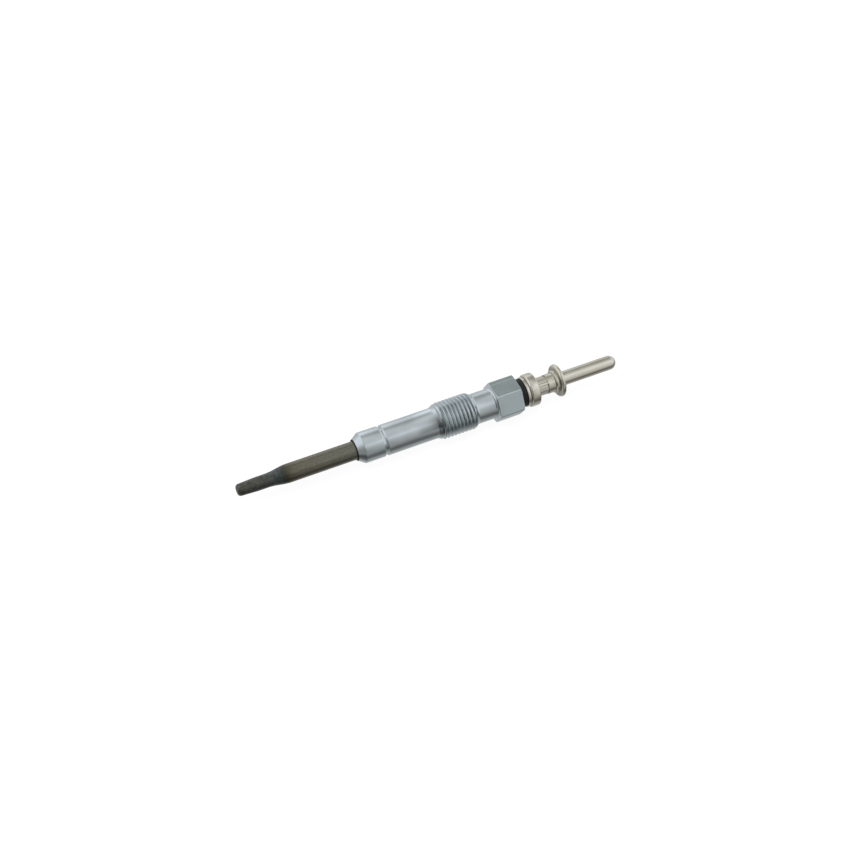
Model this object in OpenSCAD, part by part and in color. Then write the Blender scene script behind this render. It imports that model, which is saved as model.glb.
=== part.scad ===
// Diesel glow plug lying on one flat of its hexagon, tip towards -X and terminal pin towards +X.
// Each piece is turned about the plug's axis, and its stations are counted from the end of the tip.

/* [Glow tube] */
// Outside diameter of the tube behind the swage
tube_d = 6; // [5.6:0.1:6.6]
// Outside diameter of the swaged-down tip
tip_d = 4.4; // [4.2:0.1:5]
// Diameter of the tip where its rounded end begins
tip_end_d = 3.9; // [3.8:0.1:4.2]
// Corner radius of the tip's rounded end
tip_round = 1.1; // [0.8:0.1:1.6]
// Length over which the tip narrows towards its end
tip_taper_l = 5; // [3:0.5:6]
// Length of the tip in front of the swage
tip_l = 9.5; // [8:0.5:12]
// Length of the swage between tip and tube
swage_l = 7.5; // [5:0.5:9]
// Length of tube in front of the body
tube_out = 38.4; // [34:0.2:46]
// Length of tube pressed into the body
tube_in = 22; // [16:1:28]
// Wall of the tube
tube_wall = 0.7; // [0.6:0.05:0.8]
// Thickness of the tube's closed end
tip_wall = 1.6; // [1.2:0.1:2.2]

/* [Sealing cone] */
// Included angle of the sealing cone
seat_angle = 70; // [55:1:80]
// Length of the plain ring in front of the cone
nose_l = 0.4; // [0.2:0.1:1]
// Width of the flat ring at the body's mouth
mouth_lip = 0.2; // [0.1:0.05:0.3]
// Gap round the tube at the body's mouth
mouth_gap = 0.25; // [0.1:0.05:0.4]
// Depth of that gap
mouth_depth = 2; // [1:0.5:4]

/* [Shank] */
// Diameter of the shank
shank_d = 10; // [9.4:0.1:11]
// Length of the shank between cone and thread
shank_l = 24.6; // [20:0.2:32]
// Distance from the cone to the middle of the ring groove
groove_at = 7; // [4:0.2:12]
// Width of the ring groove
groove_w = 1.4; // [0.8:0.1:2]
// Depth of the ring groove
groove_depth = 0.55; // [0.2:0.05:0.8]

/* [Thread] */
// Major diameter of the thread
thread_d = 12; // [11.4:0.1:13]
// Length of the cone that leads into the thread
thread_lead_l = 2.8; // [1.5:0.1:4]
// Length of the full thread
thread_l = 9.9; // [8:0.1:16]
// Length of the cone behind the thread
thread_out_l = 1.8; // [1.5:0.1:4]

/* [Neck and hexagon] */
// Diameter of the neck between thread and hexagon
neck_d = 10; // [9:0.1:10.6]
// Length of the neck
neck_l = 6.4; // [4:0.1:10]
// Fillet between neck and hexagon
neck_fillet = 0.9; // [0.2:0.1:1.2]
// Width of the hexagon across its flats
hex_af = 12; // [11.6:0.1:14]
// Length of the hexagon
hex_l = 8.6; // [7:0.1:12]
// How far the corners of the hexagon are chamfered, measured along a radius
hex_chamfer = 0.4; // [0.2:0.05:0.8]
// Slope of that chamfer
hex_chamfer_angle = 30; // [15:1:45]

/* [Insulating washer] */
// Diameter of the washer
washer_d = 9.4; // [8:0.1:11]
// Thickness of the washer between hexagon and terminal
washer_t = 2.3; // [1.5:0.1:3]
// Length of the washer's spigot inside the body
spigot_l = 2.5; // [1.5:0.1:4]
// Chamfer on the washer's edges
washer_chamfer = 0.2; // [0.1:0.05:0.4]

/* [Terminal collar] */
// Diameter of the collar
collar_d = 10.9; // [10:0.1:12]
// Length of the collar with its lip
collar_l = 4.3; // [3.5:0.1:6]
// Length of the lip in front of the collar
lip_l = 0.8; // [0.6:0.05:1.2]
// Step in radius from collar to lip
lip_step = 0.5; // [0.3:0.05:0.7]
// Bevel on the lip's front edge
lip_bevel = 0.15; // [0.05:0.05:0.3]
// Width of the groove behind the lip, whose back wall slopes up to the collar
lip_groove_w = 0.7; // [0.4:0.05:1]
// Depth of that groove below the lip
lip_groove_depth = 0.25; // [0.1:0.05:0.4]
// Radius on the collar's back edge
collar_round = 0.5; // [0.1:0.05:0.7]

/* [Crimped sleeve] */
// Diameter of the sleeve
sleeve_d = 6.4; // [5.8:0.1:7]
// Length of the sleeve between collar and flange
sleeve_l = 7.7; // [6.5:0.1:10]
// Number of crimped panels round the sleeve
crimp_count = 8; // [4:1:8]
// Width of a crimped panel
crimp_w = 1.5; // [1.2:0.1:2.1]
// Length of a crimped panel
crimp_l = 3.7; // [2.5:0.1:4.2]
// Distance from the collar to the panels
crimp_at = 0.3; // [0.2:0.1:0.8]
// Depth of a panel at its middle
crimp_depth = 0.3; // [0.15:0.05:0.45]
// Turn of the panels about the axis
crimp_turn = 12; // [0:1:60]

/* [Flange and pin] */
// Diameter of the flange
flange_d = 10.8; // [9.5:0.1:12]
// Thickness of the flange
flange_t = 1.5; // [1.4:0.1:2.4]
// Radius on the flange's rim
flange_round = 0.65; // [0.2:0.05:0.7]
// Diameter of the shoulder ring in front of the flange
shoulder_d = 7.7; // [7.2:0.1:8.2]
// Length of that ring with the slope in front of it
shoulder_l = 1.25; // [0.9:0.05:1.4]
// Length of the slope
shoulder_slope_l = 0.35; // [0.2:0.05:0.4]
// Fillet between ring and flange
shoulder_fillet = 0.3; // [0.2:0.05:0.4]
// Diameter of the pin
pin_d = 4.7; // [4:0.1:6]
// Length of the pin
pin_l = 20.6; // [15:0.1:28]
// Length of the pin's rounded end
pin_dome_l = 2.4; // [2:0.1:4]

/* [Rod and coils] */
// Diameter of the connecting rod
rod_d = 3; // [2.6:0.1:3.4]
// Length of rod inside the tube
rod_in = 22; // [16:1:26]
// Length of rod inside the terminal
rod_held = 10; // [7:0.5:10]
// Length of the thin end of the rod, which carries the control coil
rod_stub_l = 4; // [2:0.5:6]
// Diameter of the coil wire
wire_d = 0.4; // [0.3:0.05:0.45]
// Length of the heating coil
heater_l = 11; // [8:0.5:13]
// Pitch of the heating coil
heater_pitch = 0.8; // [0.7:0.05:1.2]
// Pitch of the control coil
control_pitch = 0.95; // [0.8:0.05:1.4]
// Straight length of wire between the two coils
coil_link_l = 2; // [1.5:0.1:3]
// Layer of powder between heating coil and tube
powder_layer = 0.2; // [0.15:0.05:0.3]

/* [Seals and bores] */
// Length of the seal in the tube's open end
tube_seal_l = 3; // [2:0.5:5]
// Diameter of the body's bore behind the tube
body_bore_d = 5; // [4.6:0.1:5.6]
// Diameter of the counterbore for seal and spigot
seal_bore_d = 6.4; // [5.8:0.1:7.4]
// Gap of a pressed, moulded or filled fit
press_gap = 0.01; // [0.005:0.005:0.02]
// Gap of a loose fit round rod and spigot
slip_gap = 0.05; // [0.02:0.01:0.1]

/* [Hidden] */
$fn = 96;
arc_steps = 8;
swage_steps = 16;
wire_sides = 6;
turn_steps = 12;
through = 1;

// Stations along the axis
taper_x = tip_round + tip_taper_l;
mouth_x = tube_out;
tube_x = tube_out + tube_in;
mouth_d = tube_d + 2 * (mouth_gap + mouth_lip);
shank_x = mouth_x + nose_l + (shank_d - mouth_d) / 2 / tan(seat_angle / 2);
lead_x = shank_x + shank_l;
thread_x = lead_x + thread_lead_l;
thread_out_x = thread_x + thread_l;
neck_x = thread_out_x + thread_out_l;
hex_x = neck_x + neck_l;
hex_end_x = hex_x + hex_l;
collar_x = hex_end_x + washer_t;
sleeve_x = collar_x + collar_l;
flange_x = sleeve_x + sleeve_l;
pin_x = flange_x + flange_t;
end_x = pin_x + pin_l;

// Radii and places of what fits inside
hex_r = hex_af / 2 / cos(30);
fillet_r = min(neck_fillet, (hex_af - neck_d) / 2 - press_gap);
shoulder_r = min(shoulder_d / 2, flange_d / 2 - flange_round - shoulder_fillet - press_gap);
rod_r = rod_d / 2;
wire_r = wire_d / 2;
coil_r = tip_end_d / 2 - tube_wall - powder_layer - wire_r;
coil_out_r = coil_r + wire_r + slip_gap;
coil_in_r = coil_r - wire_r - slip_gap;
heater_x = tip_wall + wire_r + press_gap;
link_x = heater_x + heater_l;
control_x = link_x + coil_link_l;
rod_x = tube_x - rod_in;
control_end_x = rod_x - wire_r - press_gap;
control_l = control_end_x - control_x;
link_angle = 360 * heater_l / heater_pitch;
tube_seal_x = tube_x - tube_seal_l;
seal_wire_d = (seal_bore_d - rod_d) / 2 - 2 * press_gap;
seal_bore_x = hex_end_x - spigot_l - seal_wire_d - 2 * press_gap;

// Points on a round stretch of an outline, about a centre
function arc(centre, r, from, to) =
    [for (i = [0:arc_steps]) let (a = from + (to - from) * i / arc_steps) centre + r * [cos(a), sin(a)]];

// Share of a smooth S-shaped change, from 0 to 1
function ease(u) = (1 - cos(180 * u)) / 2;

// Outline of the tube behind its rounded end, drawn in by an amount all along
function tube_line(inset, front_x, back_x) = concat(
    [[tip_end_d / 2 - inset, front_x], [tip_d / 2 - inset, taper_x]],
    [for (i = [0:swage_steps]) let (u = i / swage_steps)
        [tip_d / 2 + (tube_d - tip_d) / 2 * ease(u) - inset, tip_l + swage_l * u]],
    [[tube_d / 2 - inset, back_x]]);

function reversed(list) = [for (i = [len(list) - 1:-1:0]) list[i]];
function unit(v) = v / norm(v);

// Lays the turned pieces along X, with a flat of the hexagon on the floor
module lay_down() {
    translate([-end_x / 2, 0, hex_af / 2])
        rotate([0, 90, 0])
            children();
}

// A round hole or rod on the axis, between two stations
module round_bar(d, from, to) {
    translate([0, 0, from])
        cylinder(d = d, h = to - from);
}

// Wire of a coil, swept along points that lie round the axis
module wire(path) {
    last = len(path) - 1;
    points = [for (i = [0:last]) let (
            along = unit(path[min(i + 1, last)] - path[max(i - 1, 0)]),
            out = [path[i].x, path[i].y, 0],
            across = unit(out - (out * along) * along),
            side = cross(along, across))
        for (k = [0:wire_sides - 1]) let (a = 360 * k / wire_sides)
            path[i] + wire_r * (cos(a) * across + sin(a) * side)];
    skin = [for (i = [0:last - 1], k = [0:wire_sides - 1]) let (
            near = i * wire_sides,
            far = near + wire_sides,
            next = (k + 1) % wire_sides)
        each [[near + k, far + k, far + next], [near + k, far + next, near + next]]];
    ends = [
        [for (k = [0:wire_sides - 1]) k],
        [for (k = [wire_sides - 1:-1:0]) last * wire_sides + k]];
    polyhedron(points, concat(skin, ends), convexity = 10);
}

// Points of a helix that starts at a station and an angle
function helix(start_x, start_angle, length, pitch) =
    let (steps = ceil(turn_steps * length / pitch))
    [for (i = [0:steps]) let (a = start_angle + 360 * length / pitch * i / steps)
        [coil_r * cos(a), coil_r * sin(a), start_x + length * i / steps]];

function link_point(x) = [coil_r * cos(link_angle), coil_r * sin(link_angle), x];

module hexagon() {
    chamfer_h = hex_chamfer * tan(hex_chamfer_angle);
    rim_r = hex_r - hex_chamfer;
    intersection() {
        translate([0, 0, hex_x])
            rotate(30)
                cylinder(r = hex_r, h = hex_l, $fn = 6);
        rotate_extrude()
            polygon([[0, hex_x], [rim_r, hex_x], [hex_r, hex_x + chamfer_h],
                [hex_r, hex_end_x - chamfer_h], [rim_r, hex_end_x], [0, hex_end_x]]);
    }
}

module plug_body() {
    shank_r = shank_d / 2;
    neck_r = neck_d / 2;
    groove_x = shank_x + groove_at;
    color("lightsteelblue") lay_down() difference() {
        union() {
            rotate_extrude()
                polygon(concat(
                    [[0, mouth_x], [mouth_d / 2, mouth_x], [mouth_d / 2, mouth_x + nose_l],
                    [shank_r, shank_x], [shank_r, groove_x - groove_w / 2],
                    [shank_r - groove_depth, groove_x], [shank_r, groove_x + groove_w / 2], [shank_r, lead_x],
                    [thread_d / 2, thread_x], [thread_d / 2, thread_out_x], [neck_r, neck_x]],
                    arc([neck_r + fillet_r, hex_x - fillet_r], fillet_r, 180, 90),
                    [[neck_r, hex_x + hex_l / 2], [0, hex_x + hex_l / 2]]));
            hexagon();
        }
        round_bar(tube_d + 2 * mouth_gap, mouth_x - through, mouth_x + mouth_depth);
        round_bar(tube_d + 2 * press_gap, mouth_x - through, tube_x);
        round_bar(body_bore_d, tube_x - through, hex_end_x + through);
        round_bar(seal_bore_d, seal_bore_x, hex_end_x + through);
    }
}

module glow_tube() {
    end_r = tip_end_d / 2;
    color("dimgray") lay_down() rotate_extrude()
        polygon(concat(
            [[0, 0]],
            arc([end_r - tip_round, tip_round], tip_round, -90, 0),
            tube_line(0, tip_round, tube_x),
            reversed(tube_line(tube_wall, tip_wall, tube_x)),
            [[0, tip_wall]]));
}

module heating_coil() {
    color("peru") lay_down()
        wire(concat(helix(heater_x, 0, heater_l, heater_pitch), [link_point(link_x + coil_link_l / 2)]));
}

module control_coil() {
    color("gainsboro") lay_down()
        wire(concat([link_point(link_x + coil_link_l / 2 + press_gap)],
            helix(control_x, link_angle, control_l, control_pitch)));
}

module insulating_powder() {
    stub_x = rod_x - rod_stub_l;
    fill_x = tip_wall + press_gap;
    color("linen") lay_down() difference() {
        rotate_extrude()
            polygon(concat([[0, fill_x]], tube_line(tube_wall + press_gap, fill_x, tube_seal_x),
                [[0, tube_seal_x]]));
        difference() {
            round_bar(2 * coil_out_r, fill_x - through, link_x + wire_r + slip_gap);
            round_bar(2 * coil_in_r, fill_x - 2 * through, link_x + wire_r + 2 * through);
        }
        difference() {
            round_bar(2 * coil_out_r, control_x - wire_r - slip_gap, rod_x + through);
            round_bar(2 * coil_in_r, control_x - wire_r - through, stub_x - press_gap);
        }
        translate(link_point(0))
            round_bar(2 * (wire_r + slip_gap), link_x, control_x);
        round_bar(2 * (rod_r + press_gap), rod_x - press_gap, tube_seal_x + through);
    }
}

module tube_seal() {
    color("darkred") lay_down() difference() {
        round_bar(tube_d - 2 * tube_wall - 2 * press_gap, tube_seal_x, tube_x);
        round_bar(rod_d + 2 * press_gap, tube_seal_x - through, tube_x + through);
    }
}

module connecting_rod() {
    color("silver") lay_down() {
        round_bar(2 * (coil_in_r - press_gap), rod_x - rod_stub_l, rod_x);
        round_bar(rod_d, rod_x, collar_x + rod_held);
    }
}

module body_seal() {
    color("saddlebrown") lay_down() rotate_extrude()
        translate([(rod_d + seal_bore_d) / 4, seal_bore_x + seal_wire_d / 2 + press_gap])
            circle(d = seal_wire_d);
}

module insulating_washer() {
    washer_r = washer_d / 2;
    spigot_r = seal_bore_d / 2 - slip_gap;
    hole_r = rod_r + slip_gap;
    color("#222222") lay_down() rotate_extrude()
        polygon([[hole_r, hex_end_x - spigot_l], [spigot_r - washer_chamfer, hex_end_x - spigot_l],
            [spigot_r, hex_end_x - spigot_l + washer_chamfer], [spigot_r, hex_end_x],
            [washer_r - washer_chamfer, hex_end_x], [washer_r, hex_end_x + washer_chamfer],
            [washer_r, collar_x - washer_chamfer], [washer_r - washer_chamfer, collar_x],
            [hole_r, collar_x]]);
}

// Outline of the terminal from the collar's front face to the end of the pin
function terminal_line() =
    let (
        collar_r = collar_d / 2,
        lip_r = collar_r - lip_step,
        groove_r = lip_r - lip_groove_depth,
        sleeve_r = sleeve_d / 2,
        flange_r = flange_d / 2,
        pin_r = pin_d / 2,
        dome_x = end_x - pin_dome_l)
    concat(
        [[0, collar_x], [lip_r - lip_bevel, collar_x], [lip_r, collar_x + lip_bevel],
        [lip_r, collar_x + lip_l], [groove_r, collar_x + lip_l], [collar_r, collar_x + lip_l + lip_groove_w]],
        arc([collar_r - collar_round, sleeve_x - collar_round], collar_round, 0, 90),
        [[sleeve_r, sleeve_x], [sleeve_r, flange_x - shoulder_l],
        [shoulder_r, flange_x - shoulder_l + shoulder_slope_l]],
        arc([shoulder_r + shoulder_fillet, flange_x - shoulder_fillet], shoulder_fillet, 180, 90),
        arc([flange_r - flange_round, flange_x + flange_round], flange_round, -90, 0),
        arc([flange_r - flange_round, pin_x - flange_round], flange_round, 0, 90),
        [[pin_r, pin_x]],
        [for (p = arc([0, 0], 1, 0, 90)) [pin_r * p.x, dome_x + pin_dome_l * p.y]]);

module terminal_pin() {
    panel_r = sleeve_d / 2 - crimp_depth;
    color("antiquewhite") lay_down() difference() {
        rotate_extrude()
            polygon(terminal_line());
        round_bar(rod_d + 2 * press_gap, collar_x - through, collar_x + rod_held + press_gap);
        for (i = [0:crimp_count - 1])
            rotate(crimp_turn + 360 / crimp_count * i)
                translate([panel_r, -crimp_w / 2, sleeve_x + crimp_at])
                    cube([sleeve_d, crimp_w, crimp_l]);
    }
}

plug_body();
glow_tube();
heating_coil();
control_coil();
insulating_powder();
tube_seal();
connecting_rod();
body_seal();
insulating_washer();
terminal_pin();
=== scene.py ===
import math

import bmesh
import bpy
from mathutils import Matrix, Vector, noise


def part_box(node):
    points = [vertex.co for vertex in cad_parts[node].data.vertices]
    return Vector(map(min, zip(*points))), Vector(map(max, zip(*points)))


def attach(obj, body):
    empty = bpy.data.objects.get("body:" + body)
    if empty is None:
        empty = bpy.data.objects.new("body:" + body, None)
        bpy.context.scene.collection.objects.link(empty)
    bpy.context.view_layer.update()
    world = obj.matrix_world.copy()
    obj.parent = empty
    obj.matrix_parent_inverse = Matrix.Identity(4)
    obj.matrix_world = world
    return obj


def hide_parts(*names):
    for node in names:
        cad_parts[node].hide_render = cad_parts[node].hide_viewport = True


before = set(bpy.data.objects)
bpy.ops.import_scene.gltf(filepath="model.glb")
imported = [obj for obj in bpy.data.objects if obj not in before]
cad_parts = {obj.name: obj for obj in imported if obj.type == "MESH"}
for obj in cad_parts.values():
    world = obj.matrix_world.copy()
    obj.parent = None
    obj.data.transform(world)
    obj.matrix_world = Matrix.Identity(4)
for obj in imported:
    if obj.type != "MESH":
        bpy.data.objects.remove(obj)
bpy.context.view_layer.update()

mm = 0.001
fullTurn = 2 * math.pi
weld = 2e-6  # points nearer than this become one
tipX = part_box("glow_tube")[0].x
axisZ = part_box("plug_body")[1].z / 2


# Turned outlines, in millimetres from the tip and from the axis

def onAxis(station):
    return tipX + station * mm


def endsOf(node):
    # stations of a node's two ends
    low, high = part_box(node)
    return (low.x - tipX) / mm, (high.x - tipX) / mm


def ringPoint(station, radius, angle):
    return (onAxis(station), radius * mm * math.cos(angle), axisZ + radius * mm * math.sin(angle))


def arcOf(station, radius, bend, fromDeg, toDeg, steps=8):
    # points of a round stretch of an outline, angles counted from the axis direction
    turns = [math.radians(fromDeg + (toDeg - fromDeg) * i / steps) for i in range(steps + 1)]
    return [(station + bend * math.cos(a), radius + bend * math.sin(a)) for a in turns]


def softened(outline, steps=5):
    # outline of (station, radius, edge radius): each corner becomes a small round
    points = []
    last = len(outline) - 1
    for i, corner in enumerate(outline):
        at = Vector(corner[:2])
        bend = corner[2] if len(corner) > 2 else 0
        if bend == 0 or i in (0, last):
            points.append(tuple(at))
            continue
        before = Vector(outline[i - 1][:2]) - at
        after = Vector(outline[i + 1][:2]) - at
        half = before.angle(after) / 2
        reach = min(bend / math.tan(half), 0.45 * before.length, 0.45 * after.length)
        before.normalize()
        after.normalize()
        middle = (before + after).normalized()
        centre = at + middle * (reach / math.cos(half))
        start, end = at + before * reach - centre, at + after * reach - centre
        swing = start.angle_signed(end)
        for k in range(steps + 1):
            a = -swing * k / steps
            points.append((centre.x + start.x * math.cos(a) - start.y * math.sin(a),
                           centre.y + start.x * math.sin(a) + start.y * math.cos(a)))
    return points


def addRing(bm, station, radius, columns, turn):
    if radius < 1e-6:
        return [bm.verts.new(ringPoint(station, 0, 0))]
    return [bm.verts.new(ringPoint(station, radius, turn + fullTurn * i / columns)) for i in range(columns)]


def angleOf(vert):
    return math.atan2(vert.co.z - axisZ, vert.co.y) % fullTurn


def joinRings(bm, first, second):
    if len(first) == len(second) > 1:
        for i in range(len(first)):
            k = (i + 1) % len(first)
            bm.faces.new((first[i], first[k], second[k], second[i]))
        return
    if len(first) == 1 or len(second) == 1:
        pole, ring = (first[0], second) if len(first) == 1 else (second[0], first)
        for i in range(len(ring)):
            bm.faces.new((pole, ring[i], ring[(i + 1) % len(ring)]))
        return
    # rings of unlike counts lie in one plane, so triangles go round them by angle
    a, b = sorted(first, key=angleOf), sorted(second, key=angleOf)
    i = k = 0
    while i < len(a) or k < len(b):
        nextA = angleOf(a[i + 1]) if i + 1 < len(a) else angleOf(a[0]) + fullTurn
        nextB = angleOf(b[k + 1]) if k + 1 < len(b) else angleOf(b[0]) + fullTurn
        if k >= len(b) or (i < len(a) and nextA <= nextB):
            bm.faces.new((a[i % len(a)], a[(i + 1) % len(a)], b[k % len(b)]))
            i += 1
        else:
            bm.faces.new((a[i % len(a)], b[(k + 1) % len(b)], b[k % len(b)]))
            k += 1


def addTurned(bm, outline, columns, turn=0.0):
    rings = [addRing(bm, station, radius, columns, turn) for station, radius in outline]
    for first, second in zip(rings, rings[1:]):
        joinRings(bm, first, second)
    return rings


def finishPiece(bm, name, material, node, sharpDeg=34):
    bmesh.ops.remove_doubles(bm, verts=bm.verts, dist=weld)
    bmesh.ops.dissolve_degenerate(bm, edges=bm.edges, dist=1e-7)
    loose = [v for v in bm.verts if not v.link_faces]
    bmesh.ops.delete(bm, geom=loose, context="VERTS")
    bmesh.ops.recalc_face_normals(bm, faces=bm.faces)
    openEdges = sum(1 for e in bm.edges if len(e.link_faces) != 2)
    mesh = bpy.data.meshes.new(name)
    bm.to_mesh(mesh)
    bm.free()
    mesh.materials.append(material)
    mesh.shade_smooth()
    mesh.set_sharp_from_angle(angle=math.radians(sharpDeg))
    piece = bpy.data.objects.new(name, mesh)
    bpy.context.scene.collection.objects.link(piece)
    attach(piece, "root")
    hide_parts(node)
    print(name, "faces", len(mesh.polygons), "open edges", openEdges)
    return piece


# Nodes shared by the materials and the Geometry Nodes trees

def addNode(tree, kind, **values):
    made = tree.nodes.new(kind)
    for key, value in values.items():
        setattr(made, key, value)
    return made


def feed(tree, socket, value):
    if isinstance(value, bpy.types.NodeSocket):
        tree.links.new(value, socket)
    else:
        socket.default_value = value


def calc(tree, operation, *values):
    made = addNode(tree, "ShaderNodeMath", operation=operation)
    for socket, value in zip(made.inputs, values):
        feed(tree, socket, value)
    return made.outputs[0]


def product(tree, first, *others):
    for other in others:
        first = calc(tree, "MULTIPLY", first, other)
    return first


def distance(tree, value, middle):
    return calc(tree, "ABSOLUTE", calc(tree, "SUBTRACT", value, middle))


def ranged(tree, value, fromLow, fromHigh, toLow=0.0, toHigh=1.0, kind="LINEAR"):
    made = addNode(tree, "ShaderNodeMapRange", interpolation_type=kind)
    for key, given in zip(("Value", "From Min", "From Max", "To Min", "To Max"),
                          (value, fromLow, fromHigh, toLow, toHigh)):
        feed(tree, made.inputs[key], given)
    return made.outputs[0]


def band(tree, value, rise, fall):
    # rise and fall each give the place where the band is 0 and the place where it is 1
    return calc(tree, "MULTIPLY", ranged(tree, value, *rise), ranged(tree, value, *fall))


def stationBand(tree, x, rise, fall):
    return band(tree, x, [onAxis(s) for s in rise], [onAxis(s) for s in fall])


def ramp(tree, value, stops):
    made = addNode(tree, "ShaderNodeValToRGB")
    points = made.color_ramp.elements
    while len(points) < len(stops):
        points.new(0.5)
    for point, (place, colour) in zip(points, stops):
        point.position = place
        point.color = (*colour, 1)
    feed(tree, made.inputs[0], value)
    return made.outputs[0]


def blend(tree, share, first, second, kind="MIX"):
    made = addNode(tree, "ShaderNodeMix", data_type="RGBA", blend_type=kind)
    feed(tree, made.inputs[0], share)
    for socket, value in ((made.inputs[6], first), (made.inputs[7], second)):
        feed(tree, socket, (*value, 1) if isinstance(value, tuple) else value)
    return made.outputs[2]


def splitPlace(tree, place):
    parts = addNode(tree, "ShaderNodeSeparateXYZ")
    tree.links.new(place, parts.inputs[0])
    return parts.outputs


def newMaterial(name):
    material = bpy.data.materials.new(name)
    material.use_nodes = True
    tree = material.node_tree
    return material, tree, tree.nodes["Principled BSDF"]


def turnedPlace(tree):
    # the place itself, its x, its distance from the axis, its y and its height over the axis
    place = addNode(tree, "ShaderNodeTexCoord").outputs["Object"]
    x, y, height = splitPlace(tree, place)
    z = calc(tree, "SUBTRACT", height, axisZ)
    squares = calc(tree, "ADD", calc(tree, "MULTIPLY", y, y), calc(tree, "MULTIPLY", z, z))
    return place, x, calc(tree, "SQRT", squares), y, z


def cloudOf(tree, place, scale, detail=2.0):
    made = addNode(tree, "ShaderNodeTexNoise")
    feed(tree, made.inputs["Vector"], place)
    feed(tree, made.inputs["Scale"], scale)
    feed(tree, made.inputs["Detail"], detail)
    return made.outputs[0]


def linesOf(tree, value, scale, detail=3.0):
    made = addNode(tree, "ShaderNodeTexNoise", noise_dimensions="1D")
    feed(tree, made.inputs["W"], value)
    feed(tree, made.inputs["Scale"], scale)
    feed(tree, made.inputs["Detail"], detail)
    return made.outputs[0]


def bumped(tree, height, depth):
    made = addNode(tree, "ShaderNodeBump")
    feed(tree, made.inputs["Height"], height)
    feed(tree, made.inputs["Distance"], depth)
    feed(tree, made.inputs["Strength"], 1.0)
    return made.outputs[0]


def turnedMetal(name, dark, light, rough, lineDepth):
    material, tree, shader = newMaterial(name)
    place, x, radius, y, z = turnedPlace(tree)
    along = calc(tree, "ADD", x, calc(tree, "MULTIPLY", radius, 1.37))  # tool marks also show on end faces
    lines = linesOf(tree, along, 2600.0)
    fine = linesOf(tree, along, 9000.0, 1.0)
    clouds = cloudOf(tree, place, 260.0, 4.0)
    feed(tree, shader.inputs["Base Color"], blend(tree, ranged(tree, clouds, 0.35, 0.65), dark, light))
    feed(tree, shader.inputs["Metallic"], 1.0)
    worn = calc(tree, "ADD", clouds, lines)
    feed(tree, shader.inputs["Roughness"], ranged(tree, worn, 0.6, 1.4, rough - 0.03, rough + 0.04))
    height = calc(tree, "ADD", lines, calc(tree, "MULTIPLY", fine, 0.5))
    feed(tree, shader.inputs["Normal"], bumped(tree, height, lineDepth))
    return material


def stainAndShade(material, share, colour, rough):
    # lays a colour over a finished metal, both for real stains and for painted shade
    tree = material.node_tree
    shader = tree.nodes["Principled BSDF"]
    base, dull = shader.inputs["Base Color"], shader.inputs["Roughness"]
    tree.links.new(blend(tree, share, base.links[0].from_socket, colour), base)
    overlayRough = calc(tree, "MULTIPLY", share, rough)
    tree.links.new(calc(tree, "MAXIMUM", dull.links[0].from_socket, overlayRough), dull)


# Geometry Nodes: inputs, end of a tree and the plain mesh that it makes

def addInputs(tree, kinds):
    found = {}
    for name, kind in kinds.items():
        socket = tree.interface.new_socket(name=name, in_out="INPUT", socket_type="NodeSocket" + kind)
        found[name] = socket.identifier
    return found


def closeTree(tree, mesh, material):
    tree.interface.new_socket(name="Mesh", in_out="OUTPUT", socket_type="NodeSocketGeometry")
    realize = addNode(tree, "GeometryNodeRealizeInstances")
    tree.links.new(mesh, realize.inputs[0])
    merge = addNode(tree, "GeometryNodeMergeByDistance")
    tree.links.new(realize.outputs[0], merge.inputs["Geometry"])
    feed(tree, merge.inputs["Distance"], weld)
    paint = addNode(tree, "GeometryNodeSetMaterial")
    tree.links.new(merge.outputs[0], paint.inputs["Geometry"])
    tree.links.new(material, paint.inputs["Material"])
    tree.links.new(paint.outputs[0], addNode(tree, "NodeGroupOutput").inputs[0])


def grownMesh(tree, sockets, values, base=None):
    holder = bpy.data.objects.new("holder", base or bpy.data.meshes.new("holder"))
    bpy.context.scene.collection.objects.link(holder)
    grow = holder.modifiers.new("grow", "NODES")
    grow.node_group = tree
    for name, value in values.items():
        grow[sockets[name]] = value
    bpy.context.view_layer.update()
    mesh = bpy.data.meshes.new_from_object(holder.evaluated_get(bpy.context.evaluated_depsgraph_get()))
    holder.modifiers.remove(grow)
    bpy.data.objects.remove(holder)
    return mesh


# Body: sealing cone, shank, wound thread, neck and hexagon

plugBody = {
    "columns": 144, "mouthBack": 0.3, "noseL": 0.1, "noseR": 3.45, "noseEdge": 0.04,
    "mouthR": 3.25, "mouthEdge": 0.06, "reliefDepth": 1.7, "boreR": 3.01, "rearBoreR": 2.5,
    "sealBoreR": 3.2, "sealBoreL": 4.2, "coneDeg": 35.0, "coneEdge": 0.4, "shankR": 5.0, "shankL": 24.6,
    "grooveAt": 7.0, "grooveW": 1.4, "grooveDepth": 0.5, "grooveSkew": 0.2, "grooveEdge": 0.1,
    "grooveRound": 0.2, "leadL": 2.3, "threadL": 10.1, "runOutL": 2.1, "pitch": 1.25, "rowsPerTurn": 20,
    "crestR": 6.0, "threadDepth": 0.78, "threadTurn": -1.1, "firstCrest": 0.12, "lastCrest": 0.34,
    "root": 0.92, "neckR": 5.0, "fillet": 0.9, "hexL": 8.6, "flatR": 6.0, "hexChamfer": 0.4,
    "chamferDeg": 30.0, "cornerR": 0.4, "hexEdge": 0.07, "brightLineY": 1.93, "brightLineHalf": 0.2,
    # the last four: painted shade in the thread's roots, a painted dark reflection on the lead-in and its
    # length, and the length of the black ring at the mouth
    "rootShade": 0.2, "leadInShade": 0.62, "leadInShadeL": 2.6, "blackRingL": 0.2,
}


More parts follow.
